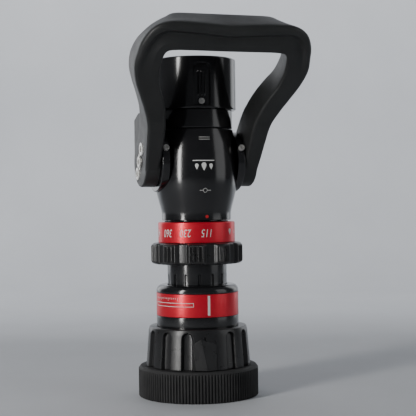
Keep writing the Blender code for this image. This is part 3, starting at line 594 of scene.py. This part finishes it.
# ---- Flow selector --------------------------------------------------------------------------
def make_flow_grip():
    """Grip with ten rounded lugs, each with fine ribs."""
    def lugs(angles, radii, heights):
        offset = repeat_offset(angles, 10, FRONT + 18.0)
        across = np.abs(offset)
        rise = 1 - ease(across, 8.6, 13.2)
        low, high, end = 100.0, 116.1, 2.6
        near = np.clip(np.minimum(heights - low, high - heights) / end, 0, 1)
        ends = np.sqrt(np.clip(1 - (1 - near) ** 2, 0, 1))
        ribs = 0.38 * np.cos(np.radians(offset) * 360.0 / 2.05) * (across < 7.6)
        ribs = ribs * np.clip((near - 0.55) / 0.45, 0, 1)
        outer = (radii > 30.0) & (heights < 116.2)
        return np.where(outer, radii + (2.55 * ends + ribs) * rise, radii)

    profile = soften([(24.9, 100.0), (31.4, 100.0, 1.0), (32.5, 101.3, 0.8), (32.5, 114.8, 0.8),
                      (31.4, 116.1, 1.0), (26.2, 116.1), (26.2, 131.3), (23.0, 131.3), (23.0, 102.8),
                      (24.9, 102.8)])
    profile = divide(profile, 0.5, 99.9, 116.2)
    piece("flow_grip_moulding", turned("flow_grip_moulding", profile, 1000, lugs), "flow_selector",
          "black_nylon", ("flow_grip",))
    dial = soften([(26.5, 116.4), (DIAL_R, 116.4, 0.25), (DIAL_R, 131.2, 0.3), (28.7, 131.8, 0.3),
                   (26.5, 131.8)])
    piece("red_dial", turned("red_dial", dial, 224), "flow_selector", "red_anodised", ("flow_dial",))


# ---- Barrel ---------------------------------------------------------------------------------
def make_barrel():
    """The neck with its fourteen round-ended keyways and the pin's slot."""
    def keyways(angles, radii, heights):
        offset = repeat_offset(angles, KEYWAYS, FRONT - 180 / KEYWAYS)
        across = np.abs(offset) * math.pi / 180 * BARREL_R
        half = 1.15
        arch = 92.4 - half
        reach = np.where(heights > arch, np.hypot(across, heights - arch), across)
        cut = 1 - ease(reach, half - 0.22, half + 0.12)
        zone = (radii > 22.0) & (heights < 94) & (heights > 64)
        # The guide ring's straight chords dip inside the barrel's full radius where it slides.
        relief = 0.2 * (1 - ease(heights, 86.5, 98.0)) * ((radii > 22.0) & (heights < 98.0))
        return radii - np.where(zone, 1.2 * cut, 0.0) - relief

    profile = soften([(18.2, 155.4), (21.7, 155.4), (21.7, 132.7), (BARREL_R, 132.7), (BARREL_R, 102.2),
                      (24.6, 102.2), (24.6, 100.4), (BARREL_R, 100.4), (BARREL_R, 63.8), (BARREL_R, 37.0),
                      (21.7, 36.0), (17.6, 36.0, 0.4), (16.8, 44.0, 3.0), (18.2, 60.0, 3.0)])
    dense = []
    for point, following in zip(profile, profile[1:] + profile[:1]):
        dense.append(point)
        straight = abs(point[0] - BARREL_R) < 0.01 and abs(following[0] - BARREL_R) < 0.01
        if straight and point[1] > 94 > following[1]:
            dense += [(BARREL_R, z) for z in np.arange(94.0, 64.0, -0.45)]
    barrel = turned("barrel_work", dense, 560, keyways)
    slot = []
    for angle in range(-98, 51, 4):
        turn = math.radians(angle)
        slot.append([Vector((r * math.cos(turn), r * math.sin(turn) + AXIS_Y, z)) * MM
                     for r, z in ((16.2, 108.2), (24.7, 108.2), (24.7, 111.8), (16.2, 111.8))])
    barrel = boolean(barrel, lofted("slot_tool", slot), "DIFFERENCE", "barrel")
    piece("barrel_tube", barrel, "valve", "black_anodised", ("barrel",))
    baffle = soften([(3.4, 30.4), (6.0, 30.4, 0.5), (12.0, 27.2, 3.0), (16.8, 22.6, 1.5),
                     (17.2, 20.6, 0.4), (16.4, 19.5, 0.4), (3.4, 19.5)])
    piece("baffle", turned("baffle", baffle, 144), "valve", "black_anodised", ("baffle_head",))


# ---- Valve body -----------------------------------------------------------------------------
def body_radius(z):
    """Half-width of the ovoid body at a height in mm."""
    foot_r, foot_z = 26.4, 138.0
    widest_r, widest_z, top_r, top_z = 31.9, 168.0, 28.6, 201.4
    if z <= foot_z:
        return foot_r
    if z <= widest_z:
        share = (z - foot_z) / (widest_z - foot_z)
        return foot_r + (widest_r - foot_r) * math.sin(share * math.pi / 2) ** 1.25
    share = min((z - widest_z) / (top_z - widest_z), 1.0)
    return top_r + (widest_r - top_r) * math.cos(share * math.pi / 2)


def side_rod(name, steps, sides=96):
    """A solid turned about the bail's pivot from steps of (x, radius)."""
    sections = []
    for x, radius in steps:
        sections.append([Vector((x, AXIS_Y + radius * math.cos(2 * math.pi * side / sides),
                                 PIVOT_Z + radius * math.sin(2 * math.pi * side / sides))) * MM
                         for side in range(sides)])
    return lofted(name, sections)


def make_valve_body():
    """Smooth ovoid body with round side bosses, bored through."""
    heights = list(np.linspace(138.0, 201.1, 54))
    outline = [(22.3, 133.0), (26.0, 133.0), (26.4, 133.4)]
    outline += [(body_radius(z), z) for z in heights]
    outline += [(28.3, 201.4), (26.0, 201.4), (26.0, 156.0), (22.3, 156.0)]
    body = turned("body_work", outline, 200)
    edge = 0.9
    for sign in (-1, 1):
        steps = [(sign * 26.8, 22.9)]
        for step in range(7):
            turn = math.pi / 2 * step / 6
            steps.append((sign * (32.5 - edge + edge * math.sin(turn)),
                          22.9 - edge + edge * math.cos(turn)))
        body = boolean(body, side_rod("boss", steps), "UNION", "boss")
    hollow = turned("hollow", [(0.0, 156.01), (25.98, 156.01), (25.98, 202.5), (0.0, 202.5)], 200,
                    closed=False)
    body = boolean(body, hollow, "DIFFERENCE", "hollow")
    body = boolean(body, side_rod("bore", [(-40, 8.0), (40, 8.0)], 48), "DIFFERENCE", "bore")
    casting = piece("valve_casting", body, "valve", "black_anodised", ("valve_body",))
    round_edges(casting, 0.5, 40)


def make_body_marks():
    """Plain pictograms for the two handle positions and three drops over a line."""
    angle = view_angle(13.0)
    upper = [flat_rectangles([(-4.2, 0.55, 4.2, 1.1), (-4.2, -1.1, 4.2, -0.55)])]
    lower = [flat_path([(1.5 * math.cos(math.radians(turn)), 1.5 * math.sin(math.radians(turn)))
                        for turn in range(0, 360, 15)], 0.45),
             flat_rectangles([(-4.2, -0.25, -1.8, 0.25), (1.8, -0.25, 4.2, 0.25)])]
    meshes = [wrapped("upper", mesh, angle, 193.9, body_radius, True) for mesh in upper]
    meshes += [wrapped("lower", mesh, angle, 155.3, body_radius, True) for mesh in lower]
    piece("position_marks", joined("position_marks", meshes), "valve", material=GREY_PRINT)
    emblem = [flat_rectangles([(-8.0, -4.3, 8.6, -3.6)])]
    for x, size in ((-5.2, 4.6), (0.2, 6.2), (5.6, 4.6)):
        drop = flat_fill(drop_outline(size))
        drop.transform(Matrix.Translation((x, 0.6, 0)))
        emblem.append(drop)
    meshes = [wrapped("emblem", mesh, view_angle(11.5), 173.4, body_radius, True) for mesh in emblem]
    piece("drop_marks", joined("drop_marks", meshes), "valve", material=WHITE_PRINT)


def make_tail():
    """Turned tail between the body and the swivel."""
    tail = soften([(18.0, 199.0), (23.3, 199.0), (23.3, 192.0), (25.7, 192.0), (25.7, 194.6),
                   (24.6, 194.6), (24.6, 197.0), (25.7, 197.0), (25.7, 201.7), (27.5, 201.7, 0.2),
                   (28.2, 202.4, 0.4), (28.2, 215.9, 0.4), (26.1, 215.9), (26.1, 219.9), (24.6, 219.9),
                   (24.6, 223.1), (26.1, 223.1), (26.1, 225.0), (24.9, 225.2), (24.9, 227.4),
                   (26.1, 229.2), (20.0, 229.2, 0.5), (18.0, 224.0, 1.0)])
    piece("tail", turned("tail", tail, 224), "valve", "black_anodised", ("inlet_tail",))
    for side, sign in (("left", -1), ("right", 1)):
        screw = steel_screw("stop_head", 2.3, 1.8, 1.25, 1.0)
        lean = math.radians(24)
        turn = Matrix.Rotation(math.radians(-90), 4, "Z")
        tilt = Matrix.Rotation(-lean, 4, "X")
        place = Vector((sign * 29.6, AXIS_Y - 23.4 * math.cos(lean), PIVOT_Z + 23.4 * math.sin(lean)))
        mesh = place_mesh(screw, Matrix.Translation(place * MM) @ tilt @ turn)
        piece("stop_screw_head_" + side, mesh, "valve", "stainless", ("stop_screw_" + side,))


# ---- Coupling -------------------------------------------------------------------------------
RECESS_CENTRE = FRONT - 7.7
RACE_Z = 221.5


def make_coupling():
    """Swivel with four shallow ribbed recesses and a thread inside its mouth, its screw, its screen."""
    def shape(angles, radii, heights):
        offset = repeat_offset(angles, 4, RECESS_CENTRE)
        across = np.abs(offset) * math.pi / 180 * SWIVEL_R
        half, top, bottom, corner = 6.4, 249.4, 218.6, 3.0
        beyond_x = np.clip(across - (half - corner), 0, None)
        beyond_z = np.clip(heights - (top - corner), 0, None)
        reach = np.hypot(beyond_x, beyond_z)
        cut = (1 - ease(reach, corner - 0.35, corner + 0.2)) * ease(heights, bottom - 0.2, bottom + 0.3)
        outer = radii > 29.0
        ribs = np.clip(np.cos(np.radians(offset) * 360.0 / 4.6), 0, 1) ** 2 * (across < 3.9)
        ribs = ribs * ease(heights, 225.4, 226.6) * (1 - ease(heights, 243.0, 244.2))
        result = radii - np.where(outer, 1.6 * cut - 0.7 * ribs * cut, 0.0)
        front = (angles - RECESS_CENTRE + 180) % 360 - 180
        spot = np.hypot(front * math.pi / 180 * 30.0, heights - RACE_Z)
        result = result - np.where(outer, 1.1 * (1 - ease(spot, 2.45, 2.75)), 0.0)
        thread_zone = (np.abs(radii - 25.3) < 0.6) & (heights > 233.4) & (heights < 253.9)
        wave = (heights / 2.8 - angles / 360.0) % 1.0
        tooth = 1 - np.abs(2 * wave - 1)
        fade = ease(heights, 234.5, 236.0) * (1 - ease(heights, 252.0, 253.6))
        return result + np.where(thread_zone, 1.15 * np.clip(tooth * 1.3 - 0.15, 0, 1) * fade - 0.4, 0.0)

    outline = soften([(26.4, 216.2), (30.6, 216.2, 0.3), (SWIVEL_R, 216.9, 0.3), (SWIVEL_R, 254.3, 0.4),
                      (30.4, 255.0, 0.5), (26.4, 255.0, 0.3), (25.3, 253.8, 0.2), (25.3, 233.4),
                      (26.0, 233.2), (26.0, 229.4), (26.4, 229.4), (26.4, 223.1), (27.9, 223.1),
                      (27.9, 219.9), (26.4, 219.9)])
    dense = []
    for point, following in zip(outline, outline[1:] + outline[:1]):
        dense.append(point)
        outer = min(point[0], following[0]) > 31.0
        inner = max(point[0], following[0]) < 25.35
        gap = abs(following[1] - point[1])
        if (outer or inner) and gap > 1.5:
            pieces = math.ceil(gap / (0.55 if outer else 0.32))
            for step in range(1, pieces):
                share = step / pieces
                dense.append((point[0] + (following[0] - point[0]) * share,
                              point[1] + (following[1] - point[1]) * share))
    piece("swivel_shell", turned("swivel_shell", dense, 640, shape), "coupling", "black_anodised",
          ("swivel_coupling",))
    turn = Matrix.Rotation(math.radians(RECESS_CENTRE), 4, "Z")
    out = Matrix.Translation(Vector((28.6, 0, 0)) * MM)
    place = Matrix.Translation(Vector((0, AXIS_Y, RACE_Z)) * MM)
    screw = place_mesh(steel_screw("port_head", 2.25, 1.4, 1.25, 0.9, 0.25), place @ turn @ out)
    piece("port_screw", screw, "coupling", "stainless", ("ball_port_screw",))

    plate = turned("plate", [(0.0, 233.3), (24.3, 233.3), (24.3, 234.3), (0.0, 234.3)], 120,
                   closed=False)
    holes = []
    for row in range(-6, 7):
        for column in range(-7, 8):
            x = (column + (row % 2) / 2) * 3.5
            y = row * 3.03
            if math.hypot(x, y) > 20.5:
                continue
            hole = turned("hole", [(0.0, 231.0), (1.35, 231.0), (1.35, 237.0), (0.0, 237.0)], 16,
                          closed=False)
            hole.transform(Matrix.Translation(Vector((x, y, 0)) * MM))
            holes.append(hole)
    screen = boolean(plate, joined("holes", holes), "DIFFERENCE", "screen")
    piece("screen", screen, "coupling", "stainless", ("inlet_screen",))


# ---- Bail -----------------------------------------------------------------------------------
# Four edges (out, along) of the bail's section at each station, from the hub to the crossbar's
# middle: front outer, front inner, rear outer, rear inner.
BAIL_STATIONS = (
    ((43.6, 0.0), (33.2, 0.0), (43.6, 0.0), (33.2, 0.0)),
    ((45.2, 16.0), (33.2, 16.0), (44.4, 16.0), (33.2, 16.0)),
    ((46.2, 30.0), (33.1, 30.0), (46.4, 30.0), (33.0, 30.0)),
    ((47.6, 43.0), (33.7, 43.0), (49.4, 43.0), (33.8, 43.0)),
    ((52.0, 56.0), (36.2, 56.0), (54.2, 56.0), (37.6, 56.0)),
    ((57.2, 68.0), (40.0, 68.0), (59.2, 68.0), (43.4, 68.0)),
    ((62.0, 79.5), (44.0, 78.0), (62.3, 78.0), (48.8, 77.0)),
    ((65.1, 92.0), (46.0, 90.0), (62.8, 89.0), (51.4, 88.0)),
    ((64.6, 103.0), (45.6, 99.0), (60.2, 98.6), (51.0, 96.0)),
    ((63.2, 113.4), (44.6, 103.6), (56.0, 105.0), (48.6, 101.6)),
    ((57.8, 123.6), (42.4, 105.9), (50.0, 111.6), (44.6, 105.4)),
    ((48.4, 129.0), (38.0, 106.6), (42.0, 117.4), (39.0, 107.6)),
    ((34.2, 129.2), (31.0, 106.8), (33.0, 121.6), (31.0, 108.4)),
    ((0.0, 126.4), (0.0, 106.6), (0.0, 122.0), (0.0, 108.4)),
)


def spline(values, steps):
    """Catmull-Rom through rows of numbers."""
    rows = np.array(values, float)
    padded = np.vstack((2 * rows[0] - rows[1], rows, 2 * rows[-1] - rows[-2]))
    result = []
    for index in range(1, len(padded) - 2):
        a, b, c, d = padded[index - 1:index + 3]
        for step in range(steps):
            t = step / steps
            result.append(0.5 * (2 * b + (c - a) * t + (2 * a - 5 * b + 4 * c - d) * t * t
                                 + (3 * b - a - 3 * c + d) * t ** 3))
    result.append(padded[-2])
    return result


def bail_width(along):
    """Front-to-back width in mm: as wide as the hub at the pivot, slimmer along the arm."""
    if along < BAIL_ARM_START:
        return BAIL_WIDTH_ARM + (BAIL_WIDTH_HUB - BAIL_WIDTH_ARM) * (1.0 - along / BAIL_ARM_START)
    share = (along - BAIL_ARM_START) / (BAIL_BAR_START - BAIL_ARM_START)
    return BAIL_WIDTH_ARM + (BAIL_WIDTH_BAR - BAIL_WIDTH_ARM) * share


def bail_section(row, side):
    """Points across the bail at one station, in its own frame: rounded corners and a cove."""
    edges = row.reshape(4, 2)
    width = bail_width(edges[0][1])
    front_outer, front_inner, rear_outer, rear_inner = edges
    corners = []
    for edge, y in ((front_outer, -width / 2), (front_inner, -width / 2),
                    (rear_inner, width / 2), (rear_outer, width / 2)):
        corners.append(Vector((side * edge[0], y, edge[1])))
    bar = float(ease(np.array(front_outer[1]), 84.0, 122.0))
    roundings = (2.6 + 3.9 * bar, 2.4, 2.6, 3.0)
    points = []
    for index, rounding in enumerate(roundings):
        corner = corners[index]
        before = corners[index - 1] - corner
        after = corners[(index + 1) % 4] - corner
        reach_before = min(rounding, before.length * 0.45)
        reach_after = min(rounding, after.length * 0.45)
        first = corner + before.normalized() * reach_before
        last = corner + after.normalized() * reach_after
        for step in range(7):
            share = step / 6
            points.append(first * (1 - share) ** 2 + corner * 2 * share * (1 - share) + last * share ** 2)
        following = corners[(index + 1) % 4]
        reach = min(roundings[(index + 1) % 4], after.length * 0.45)
        end = following - after.normalized() * reach
        fill = 22 if index == 0 else 5
        for step in range(1, fill):
            share = step / fill
            point = last.lerp(end, share)
            if index == 0:
                cove = (1 - share / 0.68) * ease(np.array(share), 0.0, 0.3) if share < 0.68 else 0.0
                point = point + Vector((0, 4.2 * bar * float(cove), 0))
            points.append(point)
    return points


def in_bail_frame():
    """Matrix from the bail's own frame, in mm, to the row frame, in metres."""
    scale = Matrix.Scale(MM, 4)
    return (Matrix.Translation(Vector((0, AXIS_Y, PIVOT_Z)) * MM)
            @ Matrix.Rotation(BAIL_LEAN, 4, "X") @ scale)


def bail_rod(name, steps, height, sides=64):
    """A solid turned about X in the bail's frame, in mm."""
    sections = []
    for x, radius in steps:
        sections.append([Vector((x, radius * math.cos(2 * math.pi * side / sides),
                                 height + radius * math.sin(2 * math.pi * side / sides)))
                         for side in range(sides)])
    return lofted(name, sections)


def make_bail():
    """The loop, its hubs and the ear on its left hub."""
    rows = spline([[value for edge in station for value in edge] for station in BAIL_STATIONS], 8)
    left = [bail_section(row, -1) for row in rows]
    right = [bail_section(row, 1) for row in rows[-2::-1]]
    loop = lofted("loop", left + right)
    ear = []
    for forward, up in ((-19.0, 4.0), (-19.0, 32.6), (-6.0, 37.2), (14.0, 30.0), (4.0, 4.0)):
        along = forward * math.sin(BAIL_LEAN) + up * math.cos(BAIL_LEAN)
        behind = -forward * math.cos(BAIL_LEAN) + up * math.sin(BAIL_LEAN)
        ear.append((behind, along))
    edge = 1.2
    for side, sign in (("left", -1), ("right", 1)):
        steps = [(sign * 32.8, HUB_R - 0.3), (sign * 33.1, HUB_R)]
        for step in range(6):
            turn = math.pi / 2 * step / 5
            steps.append((sign * (HUB_OUTER - edge + edge * math.sin(turn)),
                          HUB_R - edge + edge * math.cos(turn)))
        loop = boolean(loop, bail_rod("hub", steps, 0.0, 96), "UNION", "hub_" + side)
        if side == "left":
            sections = [[Vector((sign * x, y, z)) for y, z in ear] for x in (33.7, 43.2)]
            loop = boolean(loop, lofted("ear", sections), "UNION", "ear")
        square = []
        for x in (30.0, 46.0):
            square.append([Vector((sign * x, y, z)) for y, z in
                           ((-5.1, -5.1), (5.1, -5.1), (5.1, 5.1), (-5.1, 5.1))])
        loop = boolean(loop, lofted("square", square), "DIFFERENCE", "square_" + side)
        for _, height, _ in HANDLE_SCREWS:
            seat = bail_rod("seat", [(sign * 41.6, 5.4), (sign * 48.0, 5.4)], height, 48)
            loop = boolean(loop, seat, "DIFFERENCE", "seat_" + side)
            shank = bail_rod("shank", [(sign * 30.0, 2.9), (sign * 42.0, 2.9)], height, 24)
            loop = boolean(loop, shank, "DIFFERENCE", "shank_" + side)
    loop.transform(in_bail_frame())
    # The crossbar stands up to 0.33 mm past the CAD handle, so it is held to that node's box.
    low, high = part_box("bail_handle")
    for vertex in loop.vertices:
        vertex.co = [min(max(vertex.co[axis], low[axis]), high[axis]) for axis in range(3)]
    loop = tidy(loop, 32.0)
    bail = piece("bail_loop", loop, "handle", "bail_black", ("bail_handle",))
    round_edges(bail, 0.6, 38)


def on_hub(sign, reach, height):
    """Matrix that points a screw head out of one hub, at mm from the middle and up the bail."""
    flip = Matrix.Rotation(math.pi if sign < 0 else 0.0, 4, "Z")
    return (Matrix.Translation(Vector((0, AXIS_Y, PIVOT_Z)) * MM) @ Matrix.Rotation(BAIL_LEAN, 4, "X")
            @ Matrix.Translation(Vector((sign * reach, 0, height)) * MM) @ flip)


def make_bail_screws():
    """Socket screws through the hubs and the bolt on each trunnion's square end."""
    seat = 41.9
    for side, sign in (("left", -1), ("right", 1)):
        for which, height, proud in HANDLE_SCREWS:
            place = on_hub(sign, seat, height)
            head = steel_screw("head", 5.0, HUB_OUTER + proud - seat, 2.6, 1.6, 0.6)
            shank = bail_rod("shank", [(sign * 33.4, 2.6), (sign * 41.8, 2.6)], height, 24)
            shank.transform(in_bail_frame())
            mesh = tidy(joined("screw", [place_mesh(head, place), shank]))
            node = "handle_screw_" + which + "_" + side
            piece("screw_" + which + "_" + side, mesh, "handle", "stainless", (node,))
        bolt = place_mesh(steel_screw("bolt", 4.4, 0.8, 2.2, 0.7, 0.3), on_hub(sign, 44.5, 0))
        piece("trunnion_bolt_" + side, bolt, "handle", "stainless")


def repaint_kept_nodes():
    """Better materials for the CAD nodes; those that no piece replaces stay in the model."""
    slots = {entry["node"]: entry["material_slot"] for entry in frame["record"]["subparts"]}
    for name, node in frame["nodes"].items():
        node.data.materials.clear()
        node.data.materials.append(MATERIALS[slots[name]])
        node.data.shade_smooth()
        node.data.set_sharp_from_angle(angle=math.radians(38))


# ---- Stage, lights and camera ---------------------------------------------------------------
def make_stage():
    """A pale floor that sweeps up into a pale wall."""
    turn = math.radians(VIEW_TURN)
    along = Vector((math.sin(turn), math.cos(turn), 0))
    across = Vector((math.cos(turn), -math.sin(turn), 0))
    near, sweep_start, sweep_r, top, half = -2.2, 0.9, 0.35, 2.6, 3.0
    outline = [(near, 0.0), (sweep_start, 0.0)]
    for step in range(1, 13):
        bend = math.pi / 2 * step / 12
        outline.append((sweep_start + sweep_r * math.sin(bend), sweep_r - sweep_r * math.cos(bend)))
    outline.append((sweep_start + sweep_r, top))
    places, faces = [], []
    for distance, height in outline:
        for reach in (-half, half):
            spot = along * distance + across * reach
            places.append((spot.x, spot.y, height))
    for index in range(len(outline) - 1):
        faces.append((2 * index, 2 * index + 1, 2 * index + 3, 2 * index + 2))
    mesh = bpy.data.meshes.new("floor")
    mesh.from_pydata(places, [], faces)
    mesh.shade_smooth()
    floor = bpy.data.objects.new("floor", mesh)
    bpy.context.scene.collection.objects.link(floor)
    mesh.materials.append(finish_material("floor_paint", (0.52, 0.535, 0.56), (0.57, 0.585, 0.61),
                                          (0.55, 0.7), 0.0, 400, 0.02, 0.0, 0.0, 4, 0.3))


def area_light(name, direction, distance, height, size, energy, colour=(1, 1, 1), aim=0.14):
    """A soft box at degrees to the right of the camera, as seen from the nozzle."""
    light = bpy.data.lights.new(name, "AREA")
    light.shape = "RECTANGLE"
    light.size, light.size_y = size
    light.energy = energy
    light.color = colour
    lamp = bpy.data.objects.new(name, light)
    bpy.context.scene.collection.objects.link(lamp)
    turn = math.radians(view_angle(direction))
    lamp.location = (distance * math.cos(turn), AXIS_Y * MM + distance * math.sin(turn), height)
    look = Vector((0, AXIS_Y * MM, aim)) - lamp.location
    lamp.rotation_euler = look.to_track_quat("-Z", "Y").to_euler()
    return lamp


def make_lights():
    """A tall strip at the left, a soft box overhead, dim fills and a wash on the wall."""
    area_light("strip_left", -45, 1.1, 0.32, (0.15, 1.2), 13, (1, 0.99, 0.97))
    area_light("overhead", 176, 0.9, 1.3, (1.6, 0.5), 0.6, (0.97, 0.98, 1.0), 0.0)
    area_light("soft_right", 72, 1.25, 0.4, (0.7, 1.2), 3.0, (0.98, 0.99, 1.0))
    area_light("rim_right", 132, 1.2, 0.5, (0.5, 1.1), 2.0, (0.96, 0.98, 1.0))
    area_light("rim_left", -138, 1.2, 0.45, (0.6, 1.0), 2.5, (0.97, 0.98, 1.0))
    wash = area_light("wall_wash", 180, 0.3, 0.95, (2.6, 0.6), 20, (0.97, 0.98, 1.0), 0.95)
    wash.rotation_euler.z += math.pi
    world = bpy.data.worlds.new("studio")
    world.use_nodes = True
    background = world.node_tree.nodes["Background"]
    background.inputs["Color"].default_value = (0.9, 0.94, 1.0, 1)
    background.inputs["Strength"].default_value = 0.12
    bpy.context.scene.world = world


def make_camera():
    """A level camera turned to one side, with a shifted lens."""
    data = bpy.data.cameras.new("camera")
    camera = bpy.data.objects.new("camera", data)
    bpy.context.scene.collection.objects.link(camera)
    turn = math.radians(VIEW_TURN)
    camera.location = (-math.sin(turn) * CAMERA_DISTANCE,
                       AXIS_Y * MM - math.cos(turn) * CAMERA_DISTANCE, CAMERA_HEIGHT)
    look = Vector((math.sin(turn), math.cos(turn), 0)).to_track_quat("-Z", "Y").to_matrix().to_4x4()
    roll = Matrix.Rotation(math.radians(CAMERA_ROLL), 4, "Z")
    camera.rotation_euler = (look @ roll).to_euler()
    data.sensor_width = SENSOR_MM
    data.lens = LENS_MM
    data.shift_x = LENS_SHIFT_X
    data.shift_y = LENS_SHIFT_Y
    data.clip_start = 0.05
    bpy.context.scene.camera = camera


def main():
    repaint_kept_nodes()
    make_bumper()
    make_tip_grip()
    make_sleeve()
    make_band_marks()
    make_flow_grip()
    make_dial_marks()
    make_barrel()
    make_valve_body()
    make_body_marks()
    make_tail()
    make_coupling()
    make_bail()
    make_bail_screws()
    make_stage()
    make_lights()
    make_camera()


main()
